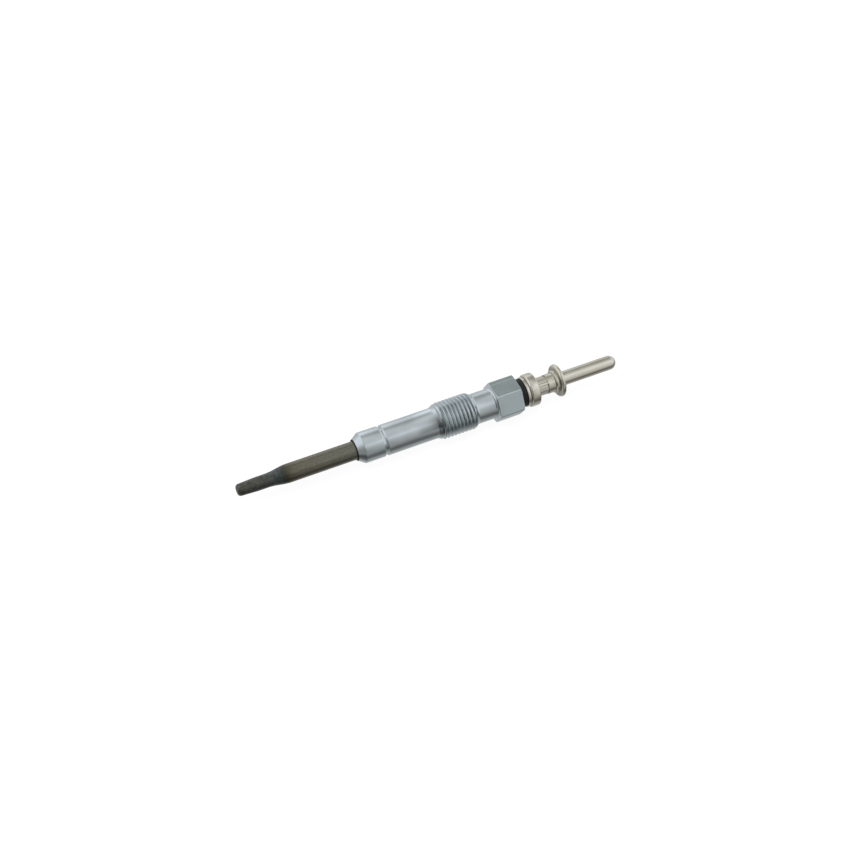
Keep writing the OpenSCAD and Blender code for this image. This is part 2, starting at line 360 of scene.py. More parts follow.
def findStations(p):
    p["mouth"], p["hexRear"] = endsOf("plug_body")
    p["mouth"] += p["mouthBack"]
    p["cone"] = p["mouth"] + p["noseL"]
    p["shank"] = p["cone"] + (p["shankR"] - p["noseR"]) / math.tan(math.radians(p["coneDeg"]))
    p["lead"] = p["shank"] + p["shankL"]
    p["thread"] = p["lead"] + p["leadL"]
    p["neck"] = p["thread"] + p["threadL"] + p["runOutL"]
    p["hexFront"] = p["hexRear"] - p["hexL"]


def threadTree():
    # winds a grid round the axis, so that its seam closes one pitch further on
    tree = bpy.data.node_groups.new("threadOfTheBody", "GeometryNodeTree")
    sizes = ("Row Step", "Pitch", "Start", "End", "Lead", "Run Out", "Crest Radius", "Shank Radius", "Depth",
             "First Crest", "Last Crest", "Root", "Turn", "Axis Height")
    kinds = {"Columns": "Int", "Rows": "Int", **dict.fromkeys(sizes, "Float"), "Material": "Material"}
    sockets = addInputs(tree, kinds)
    given = addNode(tree, "NodeGroupInput").outputs
    pitch, start, end = given["Pitch"], given["Start"], given["End"]
    grid = addNode(tree, "GeometryNodeMeshGrid")
    feed(tree, grid.inputs["Vertices X"], calc(tree, "ADD", given["Columns"], 1.0))
    feed(tree, grid.inputs["Vertices Y"], calc(tree, "ADD", given["Rows"], 1.0))
    column, line, flat = splitPlace(tree, addNode(tree, "GeometryNodeInputPosition").outputs[0])
    share = calc(tree, "ADD", column, 0.5)
    row = calc(tree, "ROUND", calc(tree, "MULTIPLY", calc(tree, "ADD", line, 0.5), given["Rows"]))
    wound = calc(tree, "SUBTRACT", calc(tree, "MULTIPLY", row, given["Row Step"]), pitch)
    free = calc(tree, "ADD", calc(tree, "ADD", wound, start), calc(tree, "MULTIPLY", share, pitch))
    x = calc(tree, "MINIMUM", calc(tree, "MAXIMUM", free, start), end)
    # distance from the crest, 0 at the crest and 1 in the root; 8 turns more keep the phase positive
    phase = calc(tree, "FRACT", calc(tree, "ADD", calc(tree, "DIVIDE", wound, pitch), 8.0))
    away = calc(tree, "SUBTRACT", 1.0, distance(tree, calc(tree, "MULTIPLY", phase, 2.0), 1.0))
    leadEnd = calc(tree, "ADD", start, given["Lead"])
    outStart = calc(tree, "SUBTRACT", end, given["Run Out"])
    # the crests get broader towards the neck
    crest = ranged(tree, x, leadEnd, outStart, given["First Crest"], given["Last Crest"])
    cut = ranged(tree, away, crest, given["Root"])
    behind = ranged(tree, x, end, outStart)
    backRise = ranged(tree, behind, 0.0, 1.0, kind="SMOOTHSTEP")
    rise = calc(tree, "MINIMUM", ranged(tree, x, start, leadEnd), backRise)
    spread = calc(tree, "SUBTRACT", given["Crest Radius"], given["Shank Radius"])
    outer = calc(tree, "ADD", given["Shank Radius"], calc(tree, "MULTIPLY", spread, rise))
    # the cone cuts off the first turns, and the last one runs out to nothing
    fade = ranged(tree, behind, 0.35, 1.0, kind="SMOOTHSTEP")
    depth = product(tree, given["Depth"], fade, cut)
    radius = calc(tree, "MINIMUM", outer, calc(tree, "SUBTRACT", given["Crest Radius"], depth))
    angle = calc(tree, "ADD", calc(tree, "MULTIPLY", share, fullTurn), given["Turn"])
    up = calc(tree, "MULTIPLY", radius, calc(tree, "SINE", angle))
    point = addNode(tree, "ShaderNodeCombineXYZ")
    feed(tree, point.inputs[0], x)
    feed(tree, point.inputs[1], calc(tree, "MULTIPLY", radius, calc(tree, "COSINE", angle)))
    feed(tree, point.inputs[2], calc(tree, "ADD", given["Axis Height"], up))
    place = addNode(tree, "GeometryNodeSetPosition")
    tree.links.new(grid.outputs["Mesh"], place.inputs["Geometry"])
    tree.links.new(point.outputs[0], place.inputs["Position"])
    closeTree(tree, place.outputs[0], given["Material"])
    return tree, sockets


def woundThread(p, zinc):
    step = p["pitch"] / p["rowsPerTurn"]
    tree, sockets = threadTree()
    return grownMesh(tree, sockets, {
        "Columns": p["columns"], "Rows": math.ceil((p["neck"] - p["lead"] + p["pitch"]) / step),
        "Row Step": step * mm, "Pitch": p["pitch"] * mm, "Start": onAxis(p["lead"]), "End": onAxis(p["neck"]),
        "Lead": p["leadL"] * mm, "Run Out": p["runOutL"] * mm, "Crest Radius": p["crestR"] * mm,
        "Shank Radius": p["shankR"] * mm, "Depth": p["threadDepth"] * mm, "First Crest": p["firstCrest"],
        "Last Crest": p["lastCrest"], "Root": p["root"], "Turn": p["threadTurn"], "Axis Height": axisZ,
        "Material": zinc})


def hexOutline(p):
    # points of the hexagon with rounded corners, as (across, up) from the axis, and its chamfer's rim
    points = []
    reach = (p["flatR"] - p["cornerR"]) / math.cos(math.pi / 6)
    rim = p["flatR"] / math.cos(math.pi / 6) - p["hexChamfer"]
    edge = math.acos(p["flatR"] / rim)
    for k in range(6):
        corner = math.radians(60 * k)
        for i in range(7):
            a = corner + math.radians(-30 + 10 * i)
            points.append((reach * math.cos(corner) + p["cornerR"] * math.cos(a),
                           reach * math.sin(corner) + p["cornerR"] * math.sin(a)))
        flat = corner + math.pi / 6
        # places across the flat, as angles from its middle
        for a in (-0.49, -0.455, -edge, -0.2, 0.2, edge, 0.455, 0.49):
            r = p["flatR"] / math.cos(a)
            points.append((r * math.cos(flat + a), r * math.sin(flat + a)))
    return points, rim


def addHexagon(bm, p):
    points, rim = hexOutline(p)
    slope = math.tan(math.radians(p["chamferDeg"]))
    plan = [[], [], []]  # end face, chamfer's start and chamfer's end, with the distance from the end face
    for across, up in points:
        r = math.hypot(across, up)
        cut = max(0.0, r - rim)
        for row, inset, back in ((plan[0], p["hexEdge"], 0.0), (plan[1], 0.0, p["hexEdge"])):
            share = (r - cut - inset) / r
            row.append((share * across, share * up, back))
        plan[2].append((across, up, p["hexEdge"] + cut * slope))
    ends = [(p["hexFront"], 1, row) for row in plan] + [(p["hexRear"], -1, row) for row in reversed(plan)]
    loops = [[bm.verts.new((onAxis(end + way * back), y * mm, axisZ + z * mm)) for y, z, back in row]
             for end, way, row in ends]
    for first, second in zip(loops, loops[1:]):
        joinRings(bm, first, second)
    return loops[0], loops[-1]


def makePlugBody(p, zinc):
    bm = bmesh.new()
    thread = woundThread(p, zinc)
    bm.from_mesh(thread)
    bpy.data.meshes.remove(thread)
    tubeEnd = endsOf("glow_tube")[1]
    sealBore = p["hexRear"] - p["sealBoreL"]
    groove = p["shank"] + p["grooveAt"]
    halfGroove = p["grooveW"] / 2
    relief = p["mouth"] + p["reliefDepth"]
    # two more rings keep the shank's faces short
    front = softened([
        (sealBore, p["rearBoreR"]), (tubeEnd, p["rearBoreR"]), (tubeEnd, p["boreR"]), (relief, p["boreR"]),
        (relief, p["mouthR"]), (p["mouth"], p["mouthR"], p["mouthEdge"]),
        (p["mouth"], p["noseR"], p["noseEdge"]), (p["cone"], p["noseR"], p["noseEdge"]),
        (p["shank"], p["shankR"], p["coneEdge"]), (groove - halfGroove, p["shankR"], p["grooveRound"]),
        (groove + p["grooveSkew"], p["shankR"] - p["grooveDepth"], p["grooveEdge"]),
        (groove + halfGroove, p["shankR"], p["grooveEdge"]),
        (groove + 4, p["shankR"]), (groove + 10, p["shankR"]), (p["lead"], p["shankR"])])
    addTurned(bm, front, p["columns"], p["threadTurn"])
    rear = [(p["neck"], p["neckR"])]
    rear += arcOf(p["hexFront"] - p["fillet"], p["neckR"] + p["fillet"], p["fillet"], -90, 0)
    neckRing = addTurned(bm, rear, p["columns"], p["threadTurn"])[-1]
    frontLoop, rearLoop = addHexagon(bm, p)
    joinRings(bm, neckRing, frontLoop)
    bore = [(p["hexRear"], p["sealBoreR"]), (sealBore, p["sealBoreR"]), (sealBore, p["rearBoreR"])]
    boreRing = addTurned(bm, bore, p["columns"], p["threadTurn"])[0]
    joinRings(bm, boreRing, rearLoop)
    return finishPiece(bm, "plugBody", zinc, "plug_body", 28)


def zincPlate(p):
    material = turnedMetal("zincPlate", (0.585, 0.64, 0.655), (0.625, 0.685, 0.7), 0.19, 2.2e-6)
    tree = material.node_tree
    place, x, radius, y, z = turnedPlace(tree)
    hexFront = onAxis(p["hexFront"])
    # bright line along the upper flat of the hexagon
    onFlat = ranged(tree, z, (p["flatR"] - 0.06) * mm, (p["flatR"] - 0.02) * mm)
    onHexagon = ranged(tree, x, hexFront, hexFront + 0.3 * mm)
    onBrightLine = ranged(tree, distance(tree, y, p["brightLineY"] * mm), p["brightLineHalf"] * mm, 0.04 * mm)
    stainAndShade(material, product(tree, onFlat, onHexagon, onBrightLine), (0.88, 0.93, 0.93), 0.0)
    # the milled flats are slightly greener than the turned stretches
    base = tree.nodes["Principled BSDF"].inputs["Base Color"]
    milled = ranged(tree, x, hexFront, hexFront + 0.1 * mm)
    tinted = blend(tree, milled, base.links[0].from_socket, (0.955, 1.0, 0.995), "MULTIPLY")
    tree.links.new(tinted, base)
    # painted shade in the roots of the thread, which are also made rougher
    thread, neck, lead = p["thread"], p["neck"], p["lead"]
    inThread = stationBand(tree, x, (thread - 1.2, thread), (neck - 0.4, neck - 1.2))
    root = ranged(tree, radius, (p["crestR"] - 0.2) * mm, (p["crestR"] - 0.5) * mm)
    stainAndShade(material, product(tree, inThread, root, p["rootShade"]), (0.36, 0.39, 0.395), 0.3)
    # painted shade, as a dark reflection, on the camera's side of the thread's lead-in
    side = calc(tree, "ARCTAN2", calc(tree, "MULTIPLY", y, -1.0), z)
    around = band(tree, side, (math.radians(22), math.radians(60)), (math.radians(108), math.radians(84)))
    along = stationBand(tree, x, (lead - 0.1, lead + 0.25), (lead + p["leadInShadeL"], lead + p["leadInShadeL"] - 0.9))
    stainAndShade(material, product(tree, around, along, p["leadInShade"]), (0.12, 0.13, 0.125), 0.3)
    # ring round the mouth painted nearly black
    blackRing = ranged(tree, x, onAxis(p["cone"] + p["blackRingL"]), onAxis(p["cone"] + 0.3 * p["blackRingL"]))
    stainAndShade(material, blackRing, (0.03, 0.028, 0.022), 0.5)
    return material


findStations(plugBody)
makePlugBody(plugBody, zincPlate(plugBody))
print("body done")


# Glow tube with its swaged tip

glowTube = {
    "columns": 96, "tubeR": 3.0, "tipR": 2.2, "endR": 1.95, "round": 1.1, "taperL": 5.0, "tipL": 9.5,
    "swageL": 7.5, "wall": 0.7, "tipWall": 1.6, "dimple": 0.0125, "dimpleR": 0.5, "dent": 0.018,
    "dentFade": 4.0, "tintL": 40.0,
    # colours of the heated metal, by share of tintL
    "tints": (
        (0.0, (0.105, 0.105, 0.088)), (0.2, (0.095, 0.097, 0.082)), (0.27, (0.098, 0.108, 0.099)),
        (0.325, (0.092, 0.104, 0.105)), (0.35, (0.081, 0.092, 0.098)), (0.37, (0.076, 0.076, 0.052)),
        (0.395, (0.084, 0.083, 0.058)), (0.43, (0.127, 0.122, 0.087)), (0.47, (0.165, 0.155, 0.115)),
        (0.56, (0.172, 0.165, 0.126)), (0.75, (0.178, 0.174, 0.138)), (1.0, (0.182, 0.179, 0.144))),
}
glowTube["end"] = endsOf("glow_tube")[1]


def heatTinted(p):
    material, tree, shader = newMaterial("heatTinted")
    place, x, radius, y, z = turnedPlace(tree)
    station = calc(tree, "DIVIDE", calc(tree, "SUBTRACT", x, tipX), p["tintL"] * mm)
    wander = calc(tree, "MULTIPLY", calc(tree, "SUBTRACT", cloudOf(tree, place, 350.0), 0.5), 0.02)
    tint = ramp(tree, calc(tree, "ADD", station, wander), p["tints"])
    nearTip = ranged(tree, station, 0.42, 0.3)
    patches = ranged(tree, cloudOf(tree, place, 900.0, 4.0), 0.32, 0.68, 0.72, 1.3)
    grain = ranged(tree, cloudOf(tree, place, 1700.0, 4.0), 0.36, 0.64, 0.88, 1.12)
    mottle = ranged(tree, nearTip, 0.0, 1.0, grain, patches)
    specks = ranged(tree, cloudOf(tree, place, 2600.0, 3.0), 0.62, 0.74)
    # drawing marks along the tube
    streaks = ranged(tree, linesOf(tree, calc(tree, "ARCTAN2", z, y), 9.0, 4.0), 0.3, 0.7, 0.86, 1.14)
    plain = blend(tree, 1.0, blend(tree, 1.0, tint, mottle, "MULTIPLY"), streaks, "MULTIPLY")
    lit = blend(tree, product(tree, specks, nearTip, 0.45), plain, (0.3, 0.3, 0.28))
    feed(tree, shader.inputs["Base Color"], lit)
    feed(tree, shader.inputs["Metallic"], 0.85)
    feed(tree, shader.inputs["Roughness"], ranged(tree, station, 0.34, 0.45, 0.36, 0.28))
    feed(tree, shader.inputs["Specular IOR Level"], 0.3)
    pits = product(tree, cloudOf(tree, place, 1800.0, 4.0), ranged(tree, nearTip, 0.0, 1.0, 0.25, 1.0))
    height = calc(tree, "ADD", pits, calc(tree, "MULTIPLY", linesOf(tree, x, 3000.0), 0.3))
    feed(tree, shader.inputs["Normal"], bumped(tree, height, 1.1e-5))
    return material


def makeGlowTube(p):
    taper = p["round"] + p["taperL"]
    bend = p["tipL"] + p["swageL"]
    spread = p["tubeR"] - p["tipR"]
    widening = p["tipR"] - p["endR"]
    swage = [(p["tipL"] + p["swageL"] * i / 24, p["tipR"] + spread * (1 - math.cos(math.pi * i / 24)) / 2)
             for i in range(25)]
    outer = [(0.0, 0.0), (p["dimple"], p["dimpleR"])]
    outer += arcOf(p["round"], p["endR"] - p["round"], p["round"], 180, 90)
    outer += [(p["round"] + p["taperL"] * i / 8, p["endR"] + widening * i / 8) for i in range(1, 9)]
    outer += [(taper + (p["tipL"] - taper) * i / 5, p["tipR"]) for i in range(1, 5)] + swage
    outer += [(bend + (p["end"] - bend) * i / 30, p["tubeR"]) for i in range(1, 31)]
    inner = [(p["end"], p["tubeR"] - p["wall"])] + [(s, r - p["wall"]) for s, r in reversed(swage)]
    inner += [(taper, p["tipR"] - p["wall"]), (p["tipWall"], p["endR"] - p["wall"]), (p["tipWall"], 0.0)]
    bm = bmesh.new()
    addTurned(bm, outer + inner, p["columns"])
    # the hot end is slightly uneven, always inwards
    for vert in bm.verts:
        station = (vert.co.x - tipX) / mm
        r = math.hypot(vert.co.y, vert.co.z - axisZ) / mm
        if r > p["endR"] - p["wall"] + 0.45 and 0.05 < station < bend:
            share = min(1.0, (bend - station) / p["dentFade"])
            dent = p["dent"] * share * (0.5 + 0.5 * noise.noise(Vector(vert.co) / mm * 0.9))
            vert.co.y *= 1 - dent / r
            vert.co.z = axisZ + (vert.co.z - axisZ) * (1 - dent / r)
    return finishPiece(bm, "glowTube", heatTinted(p), "glow_tube")


makeGlowTube(glowTube)
print("tube done")


# Black washer between hexagon and terminal

insulatingWasher = {"columns": 96, "r": 4.7, "holeR": 1.55, "spigotR": 3.15, "spigotL": 2.5, "edge": 0.2}
insulatingWasher["rear"] = endsOf("insulating_washer")[1]
insulatingWasher["front"] = endsOf("plug_body")[1]


def blackPlastic():
    material, tree, shader = newMaterial("blackPlastic")
    place, x, radius, y, z = turnedPlace(tree)
    clouds = cloudOf(tree, place, 900.0, 4.0)
    colour = blend(tree, ranged(tree, clouds, 0.35, 0.7), (0.008, 0.008, 0.008), (0.016, 0.016, 0.015))
    feed(tree, shader.inputs["Base Color"], colour)
    feed(tree, shader.inputs["Roughness"], ranged(tree, clouds, 0.3, 0.7, 0.42, 0.58))
    feed(tree, shader.inputs["Specular IOR Level"], 0.25)
    height = calc(tree, "ADD", clouds, linesOf(tree, x, 2500.0))
    feed(tree, shader.inputs["Normal"], bumped(tree, height, 8e-6))
    return material


def makeWasher(p):
    front, rear, edge = p["front"], p["rear"], p["edge"]
    spigot = front - p["spigotL"]
    outline = softened([
        (rear, p["holeR"]), (spigot, p["holeR"]), (spigot, p["spigotR"], edge), (front, p["spigotR"]),
        (front, p["r"], edge), (rear, p["r"], edge), (rear, p["holeR"])])
    bm = bmesh.new()
    addTurned(bm, outline, p["columns"])
    return finishPiece(bm, "insulatingWasher", blackPlastic(), "insulating_washer")


makeWasher(insulatingWasher)
print("washer done")


# Terminal: one sector with a crimped panel, repeated round the axis by Geometry Nodes

terminalPin = {
    "sectors": 8, "holeR": 1.51, "holeL": 10.01, "collarR": 5.45, "collarL": 4.3, "collarRound": 0.5,
    "lipR": 4.95, "lipL": 0.88, "lipEdge": 0.08, "grooveW": 0.62, "grooveDepth": 0.25, "grooveEdge": 0.04,
    "grooveRound": 0.35, "sleeveR": 3.2, "sleeveL": 7.7, "sleeveEdge": 0.12, "shoulderR": 3.85,
    "shoulderL": 1.25, "slopeL": 0.35, "slopeRound": 0.2, "shoulderFillet": 0.2, "flangeR": 5.4,
    "flangeT": 1.5, "flangeRound": 0.65, "pinR": 2.35, "pinFillet": 0.15, "domeL": 2.4, "poleGap": 0.0005,
    "panelTurn": 12.0, "panelAt": 0.3, "panelL": 3.7, "panelHalf": 0.75, "panelR": 2.93, "panelSlope": 0.07,
    # the last three give shares of painted shade along the panel walls, in the groove and at the shoulder and
    # flange
    "ridgeR": 3.05, "ridgeDrop": 0.09, "panelWallShade": 0.5, "grooveShade": 0.85, "cornerShade": 0.6,
}
terminalPin["collar"], terminalPin["end"] = endsOf("terminal_pin")
terminalPin["end"] -= terminalPin["poleGap"]
terminalPin["sleeve"] = terminalPin["collar"] + terminalPin["collarL"]
terminalPin["panel"] = terminalPin["sleeve"] + terminalPin["panelAt"]
terminalPin["panelEnd"] = terminalPin["panel"] + terminalPin["panelL"]
terminalPin["flange"] = terminalPin["sleeve"] + terminalPin["sleeveL"]
terminalPin["panelWall"] = math.asin(terminalPin["panelHalf"] / terminalPin["sleeveR"])


def sectorTree():
    tree = bpy.data.node_groups.new("crimpedSectors", "GeometryNodeTree")
    kinds = {"Sector": "Geometry", "Count": "Int", "Axis Height": "Float", "Material": "Material"}
    sockets = addInputs(tree, kinds)
    given = addNode(tree, "NodeGroupInput").outputs
    line = addNode(tree, "GeometryNodeMeshLine")
    feed(tree, line.inputs["Count"], given["Count"])
    centre = addNode(tree, "ShaderNodeCombineXYZ")
    feed(tree, centre.inputs[2], given["Axis Height"])
    tree.links.new(centre.outputs[0], line.inputs["Start Location"])
    line.inputs["Offset"].default_value = (0, 0, 0)
    turn = addNode(tree, "ShaderNodeCombineXYZ")
    index = addNode(tree, "GeometryNodeInputIndex").outputs[0]
    each = calc(tree, "DIVIDE", fullTurn, given["Count"])
    feed(tree, turn.inputs[0], calc(tree, "MULTIPLY", index, each))
    copies = addNode(tree, "GeometryNodeInstanceOnPoints")
    tree.links.new(line.outputs["Mesh"], copies.inputs["Points"])
    tree.links.new(given["Sector"], copies.inputs["Instance"])
    tree.links.new(turn.outputs[0], copies.inputs["Rotation"])
    closeTree(tree, copies.outputs[0], given["Material"])
    return tree, sockets


def terminalOutline(p):
    # points of (station, radius, 1 where the crimped panel lies)
    groove = p["collar"] + p["lipL"]
    low = p["lipR"] - p["grooveDepth"]
    collar = softened([
        (p["collar"], p["holeR"]), (p["collar"], p["lipR"], p["lipEdge"]),
        (groove, p["lipR"], p["grooveEdge"]), (groove, low, p["grooveEdge"]),
        (groove + p["grooveW"], p["collarR"], p["grooveRound"]),
        (p["sleeve"], p["collarR"], p["collarRound"]), (p["sleeve"], p["sleeveR"], p["sleeveEdge"]),
        (p["panel"], p["sleeveR"])])
    panelRows = [p["panel"] + p["panelSlope"]]
    panelRows += [p["panel"] + p["panelL"] * k / 6 for k in range(1, 6)]
    panelRows += [p["panelEnd"] - p["panelSlope"]]
    flange, rim = p["flange"], p["flangeR"] - p["flangeRound"]
    pin = flange + p["flangeT"]
    dome = p["end"] - p["domeL"]
    slope = flange - p["shoulderL"]
    rest = softened([
        (p["panelEnd"], p["sleeveR"]), (slope - 1, p["sleeveR"]), (slope, p["sleeveR"], p["slopeRound"]),
        (slope + p["slopeL"], p["shoulderR"], p["sleeveEdge"]), (flange, p["shoulderR"], p["shoulderFillet"]),
        (flange, rim)])[:-1]
    rest += arcOf(flange + p["flangeRound"], rim, p["flangeRound"], 180, 90)
    rest += arcOf(pin - p["flangeRound"], rim, p["flangeRound"], 90, 0)
    rest += softened([(pin, p["pinR"] + 1), (pin, p["pinR"], p["pinFillet"]), (pin + 2, p["pinR"])])[1:]
    rest += [(pin + (dome - pin) * k / 6, p["pinR"]) for k in range(2, 6)]
    turns = [k * math.pi / 28 for k in range(14)]
    rest += [(dome + p["domeL"] * math.sin(a), p["pinR"] * math.cos(a)) for a in turns] + [(p["end"], 0.0)]
    outline = [(s, r, 0) for s, r in collar]
    outline += [(s, p["ridgeR"], 1) for s in panelRows]
    return outline + [(s, r, 0) for s, r in rest]


def sectorMesh(p):
    # one sector round the world's x axis: half a ridge, a panel and half a ridge
    half, wall = math.pi / p["sectors"], p["panelWall"]
    shares = (0, 0.25, 0.5, 0.75, 0.93, 1)
    edges = [half - (half - wall) * share for share in shares]
    columns = [-a for a in edges] + [wall * 0.93 * k / 4 for k in range(-4, 5)] + edges[::-1]
    drops = list(shares) + [None] * 9 + list(shares[::-1])
    middle = math.radians(90 + p["panelTurn"])
    holeEnd = p["collar"] + p["holeL"]
    bm = bmesh.new()
    rings = []
    for station, radius, crimped in [(holeEnd, 0.0, 0), (holeEnd, p["holeR"], 0)] + terminalOutline(p):
        if radius < 1e-6:
            rings.append([bm.verts.new((onAxis(station), 0, 0))])
            continue
        ring = []
        for a, drop in zip(columns, drops):
            r = radius
            if crimped:
                r = p["panelR"] if drop is None else radius - p["ridgeDrop"] * drop ** 2
            y, z = r * mm * math.cos(middle - a), r * mm * math.sin(middle - a)
            ring.append(bm.verts.new((onAxis(station), y, z)))
        rings.append(ring)
    for ring, after in zip(rings, rings[1:]):
        for k in range(len(columns) - 1):
            a, b = min(k, len(ring) - 1), min(k + 1, len(ring) - 1)
            c, d = min(k + 1, len(after) - 1), min(k, len(after) - 1)
            corners = list(dict.fromkeys((ring[a], ring[b], after[c], after[d])))
            if len(corners) > 2:
                bm.faces.new(corners)
    bmesh.ops.remove_doubles(bm, verts=bm.verts, dist=weld)
    mesh = bpy.data.meshes.new("sector")
    bm.to_mesh(mesh)
    bm.free()
    return mesh


def nickelPlate(p):
    material = turnedMetal("nickelPlate", (0.69, 0.66, 0.56), (0.74, 0.71, 0.608), 0.125, 2e-6)
    tree = material.node_tree
    place, x, radius, y, z = turnedPlace(tree)
    # brown residue where the crimped panels end
    panel, panelEnd = p["panel"], p["panelEnd"]
    near = ranged(tree, distance(tree, x, onAxis(panelEnd)), 0.3 * mm, 0.12 * mm)
    patch = ranged(tree, cloudOf(tree, place, 600.0), 0.42, 0.56, 0.1, 0.95)
    sunk = ranged(tree, radius, (p["sleeveR"] + 0.02) * mm, (p["sleeveR"] - 0.04) * mm)
    stainAndShade(material, product(tree, near, patch, sunk), (0.16, 0.075, 0.05), 0.4)
    # painted shade along the walls of the panels
    inPanel = stationBand(tree, x, (panel - 0.1, panel + 0.1), (panelEnd + 0.05, panelEnd - 0.1))
    each = fullTurn / p["sectors"]
    firstRidge = math.radians(90 + p["panelTurn"]) - each / 2
    turned = calc(tree, "SUBTRACT", calc(tree, "ARCTAN2", z, y), firstRidge)
    offMiddle = distance(tree, calc(tree, "FLOORED_MODULO", turned, each), each / 2)
    line = ranged(tree, distance(tree, offMiddle, p["panelWall"]), math.radians(1.9), math.radians(0.6))
    stainAndShade(material, product(tree, line, p["panelWallShade"], inPanel), (0.2, 0.18, 0.145), 0.35)
    # painted shade in the groove behind the lip
    groove, width = p["collar"] + p["lipL"], p["grooveW"]
    ending = (groove + 0.65 * width, groove + 0.3 * width)
    inGroove = stationBand(tree, x, (groove - 0.01, groove + 0.03), ending)
    stainAndShade(material, product(tree, inGroove, p["grooveShade"]), (0.13, 0.12, 0.1), 0.4)
    # rings of painted shade, standing for a dark reflection, at the foot of the shoulder and in the corner of
    # the flange
    flange = p["flange"]
    foot = distance(tree, x, onAxis(flange - p["shoulderL"] + 0.05))
    atFlange = stationBand(tree, x, (flange - 0.42, flange - 0.25), (flange + 0.3, flange + 0.1))
    inCorner = ranged(tree, radius, (p["shoulderR"] + 1.1) * mm, (p["shoulderR"] + 0.8) * mm)
    corner = calc(tree, "MULTIPLY", atFlange, inCorner)
    rings = calc(tree, "MAXIMUM", ranged(tree, foot, 0.2 * mm, 0.06 * mm), corner)
    stainAndShade(material, product(tree, rings, p["cornerShade"]), (0.2, 0.18, 0.15), 0.3)
    return material


def makeTerminal(p):
    nickel = nickelPlate(p)
    tree, sockets = sectorTree()
    values = {"Count": p["sectors"], "Axis Height": axisZ, "Material": nickel}
    grown = grownMesh(tree, sockets, values, sectorMesh(p))
    bm = bmesh.new()
    bm.from_mesh(grown)
    bpy.data.meshes.remove(grown)
    return finishPiece(bm, "terminalPin", nickel, "terminal_pin", 30)


makeTerminal(terminalPin)
print("terminal done")


# Materials of the pieces inside, which stay as the CAD made them

def innerMaterial(name, dark, light, metallic, rough, scale):
    material, tree, shader = newMaterial(name)
    place, x, radius, y, z = turnedPlace(tree)
    clouds = cloudOf(tree, place, scale, 3.0)
    feed(tree, shader.inputs["Base Color"], blend(tree, ranged(tree, clouds, 0.35, 0.65), dark, light))
    feed(tree, shader.inputs["Metallic"], metallic)
    feed(tree, shader.inputs["Roughness"], ranged(tree, clouds, 0.3, 0.7, rough - 0.08, rough + 0.08))
    feed(tree, shader.inputs["Normal"], bumped(tree, clouds, 6e-6))
    return material


# slot, material's name, darker and lighter colour, metallic, roughness and scale of the clouds
innerPieces = {
    "heating_coil": ("coil_wire", "resistanceWire", (0.4, 0.37, 0.32), (0.52, 0.48, 0.42), 1.0, 0.4, 2000.0),
    "control_coil": ("coil_wire", "controlWire", (0.48, 0.47, 0.45), (0.58, 0.57, 0.55), 1.0, 0.35, 2000.0),
    "insulating_powder": (
        "pressed_powder", "pressedPowder", (0.78, 0.76, 0.7), (0.88, 0.86, 0.82), 0.0, 0.9, 1500.0),
    "tube_seal": ("seal_rubber", "tubeSealRubber", (0.16, 0.08, 0.06), (0.22, 0.12, 0.09), 0.0, 0.7, 900.0),
    "connecting_rod": ("rod_steel", "drawnRod", (0.5, 0.5, 0.5), (0.62, 0.62, 0.62), 1.0, 0.3, 600.0),
    "body_seal": ("seal_rubber", "bodySealRubber", (0.16, 0.08, 0.06), (0.22, 0.12, 0.09), 0.0, 0.7, 900.0),
}
for node, (slotName, *look) in innerPieces.items():
    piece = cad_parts[node]
    piece.data.materials.clear()
    piece.data.materials.append(innerMaterial(*look))
print("inner pieces done")


# Studio: white floor, soft light all round and one broad lamp

studio = {
    "floorHalf": 3.0, "lampPlace": (-0.1, 0.1, 0.7), "lampSize": 0.7, "lampPower": 3.2,
    "azimuth": -24.65, "elevation": 48.65, "distance": 0.44, "focal": 59.06,
    "aim": (-0.0028036, 0.000154, 0.006274), "farLight": 0.86, "farEdges": (0.55, 0.8),
    "floorGlow": 0.93, "floorGrey": 0.85, "shadowGrey": 0.11,
}
# strength of the soft light by angle round the plug's axis, 0 straight up and positive to the camera's side
softLight = {
    "right": (
        (-100, 0.66), (-74, 0.84), (-62, 0.76), (-53, 0.6), (-45, 0.4), (-37, 0.38), (-30, 0.5), (-22, 0.54),
        (-12, 0.68), (12, 0.68), (28, 0.78), (39, 0.94), (49, 0.72), (69, 0.56), (86, 0.47), (100, 0.36)),
    "front": (
        (-100, 0.9), (-75, 1.15), (-62, 1.05), (-53, 0.8), (-45, 0.55), (-37, 0.52), (-30, 0.66), (-22, 0.72),
        (-12, 0.8), (2, 0.74), (14, 0.67), (28, 0.68), (39, 0.78), (49, 0.6), (63, 0.44), (75, 0.37),
        (88, 0.32), (100, 0.25)),
    "middle": (
        (-100, 0.6), (-69, 0.84), (-51, 1.05), (-32, 0.9), (-12, 0.65), (8, 0.43), (28, 0.31), (49, 0.21),
        (69, 0.14), (89, 0.09), (110, 0.07)),
    "left": (
        (-100, 0.68), (-80, 0.7), (-63, 0.84), (-46, 0.97), (-25, 0.98), (-2, 0.92), (25, 0.6), (53, 0.36),
        (79, 0.32), (103, 0.26)),
    "rear": (
        (-100, 0.58), (-74, 0.76), (-62, 0.6), (-52, 0.37), (-40, 0.36), (-28, 0.41), (-10, 0.53), (6, 0.8),
        (20, 1.02), (36, 0.94), (50, 0.82), (71, 0.69), (88, 0.6), (106, 0.42)),
}
# where each takes over from the light on the right, by the x of the direction
softLightEdges = {
    "front": (0.235, 0.2), "middle": (0.04, -0.16), "left": (-0.54, -0.72), "rear": (0.345, 0.39),
}
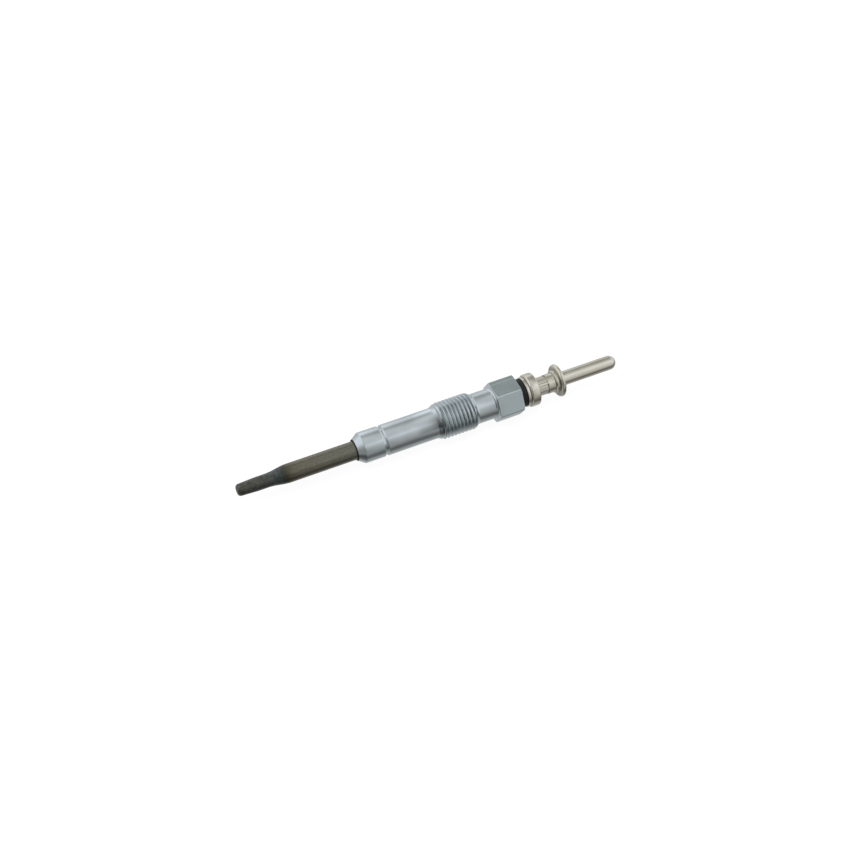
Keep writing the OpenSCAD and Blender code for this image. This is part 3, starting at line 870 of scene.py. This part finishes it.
# strength of the floor as the metal mirrors it, by y in millimetres
mirroredFloor = {
    "body": (
        (-60, 0.38), (-48, 0.35), (-26, 0.26), (-18, 0.18), (-13.4, 0.135), (-10.5, 0.19), (-8.4, 0.34),
        (-6, 0.45), (-4.7, 0.52), (-2, 0.6), (20, 0.67)),
    "terminal": (
        (-60, 0.42), (-27, 0.32), (-20, 0.24), (-13.4, 0.13), (-11.3, 0.11), (-8.4, 0.24), (-7, 0.29),
        (-5.8, 0.31), (-4.7, 0.38), (-2, 0.45), (20, 0.58)),
    "tube": (
        (-60, 0.36), (-34, 0.25), (-26, 0.22), (-20, 0.16), (-13.4, 0.085), (-10.5, 0.09), (-8.4, 0.14),
        (-6, 0.31), (-4.7, 0.46), (-2, 0.58), (20, 0.62)),
}
mirroredEdges = {"terminal": (36.5, 40), "tube": (-23, -29)}  # by x in millimetres
# shade on the mirrored floor: middle, half length, range of y and strength
floorShade = {
    "underHexagon": (plugBody["hexRear"] - plugBody["hexL"] / 2 + 1, 4.8, -5.0, -4.2, 0.45),
    "beforeCone": (plugBody["mouth"] - 0.5, 1.5, -7.2, -5.9, 0.45),
}


def lightOf(strength):
    # strong light is slightly cool and weak light slightly warm
    return (strength * (1.01 - 0.03 * strength), strength, strength * (0.96 + 0.09 * strength))


def studioWorld(p):
    world = bpy.data.worlds.new("studio")
    bpy.context.scene.world = world
    world.use_nodes = True
    tree = world.node_tree
    back = tree.nodes["Background"]
    x, y, z = splitPlace(tree, addNode(tree, "ShaderNodeTexCoord").outputs["Generated"])
    around = calc(tree, "ARCTAN2", calc(tree, "MULTIPLY", y, -1.0), z)
    share = calc(tree, "ADD", calc(tree, "DIVIDE", around, fullTurn), 0.5)
    rings = {name: ramp(tree, share, [(a / 360 + 0.5, lightOf(v)) for a, v in strengths])
             for name, strengths in softLight.items()}
    light = rings["right"]
    for name, edges in softLightEdges.items():
        light = blend(tree, ranged(tree, x, *edges, kind="SMOOTHSTEP"), light, rings[name])
    light = blend(tree, ranged(tree, x, *p["farEdges"], kind="SMOOTHSTEP"), light, lightOf(p["farLight"]))
    rays = addNode(tree, "ShaderNodeLightPath").outputs
    seen = calc(tree, "MAXIMUM", rays["Is Camera Ray"], rays["Is Transmission Ray"])
    tree.links.new(blend(tree, seen, light, (1.0, 1.0, 1.0)), back.inputs["Color"])
    back.inputs["Strength"].default_value = 1.0


def mirroredLight(tree):
    x, y, z = splitPlace(tree, addNode(tree, "ShaderNodeTexCoord").outputs["Object"])
    low, high = mirroredFloor["body"][0][0], mirroredFloor["body"][-1][0]
    across = ranged(tree, y, low * mm, high * mm)
    strips = {name: ramp(tree, across, [((at - low) / (high - low), lightOf(v)) for at, v in strengths])
              for name, strengths in mirroredFloor.items()}
    light = strips["body"]
    for name, (start, end) in mirroredEdges.items():
        light = blend(tree, ranged(tree, x, start * mm, end * mm), light, strips[name])
    for middle, half, front, rear, strength in floorShade.values():
        along = ranged(tree, distance(tree, x, onAxis(middle)), (half + 0.6) * mm, (half - 0.6) * mm)
        rise = ((front - 0.3) * mm, (front + 0.3) * mm)
        fall = ((rear + 0.3) * mm, (rear - 0.3) * mm)
        share = product(tree, along, band(tree, y, rise, fall), strength)
        light = blend(tree, share, light, (0.0, 0.0, 0.0))
    return light


def mixShaders(tree, share, first, second):
    made = addNode(tree, "ShaderNodeMixShader")
    for socket, value in zip(made.inputs, (share, first, second)):
        tree.links.new(value, socket)
    return made.outputs[0]


def greyDiffuse(tree, grey):
    made = addNode(tree, "ShaderNodeBsdfDiffuse")
    made.inputs["Color"].default_value = (grey, grey, grey, 1)
    return made.outputs[0]


def whiteFloor(p):
    material = bpy.data.materials.new("whiteFloor")
    material.use_nodes = True
    material.cycles.emission_sampling = "NONE"  # its glow differs by ray, so it isn't sampled as a lamp
    tree = material.node_tree
    tree.nodes.clear()
    glow = addNode(tree, "ShaderNodeEmission")
    glow.inputs["Strength"].default_value = p["floorGlow"]
    seen = addNode(tree, "ShaderNodeAddShader")
    tree.links.new(glow.outputs[0], seen.inputs[0])
    tree.links.new(greyDiffuse(tree, p["shadowGrey"]), seen.inputs[1])
    mirror = addNode(tree, "ShaderNodeEmission")
    tree.links.new(mirroredLight(tree), mirror.inputs["Color"])
    rays = addNode(tree, "ShaderNodeLightPath").outputs
    plain = mixShaders(tree, rays["Is Camera Ray"], greyDiffuse(tree, p["floorGrey"]), seen.outputs[0])
    surface = mixShaders(tree, rays["Is Glossy Ray"], plain, mirror.outputs[0])
    tree.links.new(surface, addNode(tree, "ShaderNodeOutputMaterial").inputs["Surface"])
    return material


def addAimed(name, data, place, direction):
    made = bpy.data.objects.new(name, data)
    made.location = place
    made.rotation_mode = "QUATERNION"
    made.rotation_quaternion = direction.to_track_quat("-Z", "Y")
    bpy.context.scene.collection.objects.link(made)
    return made


def makeStudio(p):
    half = p["floorHalf"]
    mesh = bpy.data.meshes.new("floor")
    corners = [(-half, -half, 0), (half, -half, 0), (half, half, 0), (-half, half, 0)]
    mesh.from_pydata(corners, [], [(0, 1, 2, 3)])
    mesh.materials.append(whiteFloor(p))
    floor = bpy.data.objects.new("floor", mesh)
    bpy.context.scene.collection.objects.link(floor)
    lampData = bpy.data.lights.new("broadLamp", "AREA")
    lampData.shape = "DISK"
    lampData.size = p["lampSize"]
    lampData.energy = p["lampPower"]
    lamp = addAimed("broadLamp", lampData, p["lampPlace"], -Vector(p["lampPlace"]))
    lamp.visible_glossy = False
    a, e = math.radians(p["azimuth"]), math.radians(p["elevation"])
    back = Vector((math.sin(a) * math.cos(e), -math.cos(a) * math.cos(e), math.sin(e)))
    cameraData = bpy.data.cameras.new("camera")
    cameraData.lens = p["focal"]
    cameraData.sensor_width = 36
    cameraData.clip_start = 0.01
    bpy.context.scene.camera = addAimed("camera", cameraData, Vector(p["aim"]) + back * p["distance"], -back)


studioWorld(studio)
makeStudio(studio)
bpy.context.scene.view_settings.view_transform = "Standard"
print("studio done")
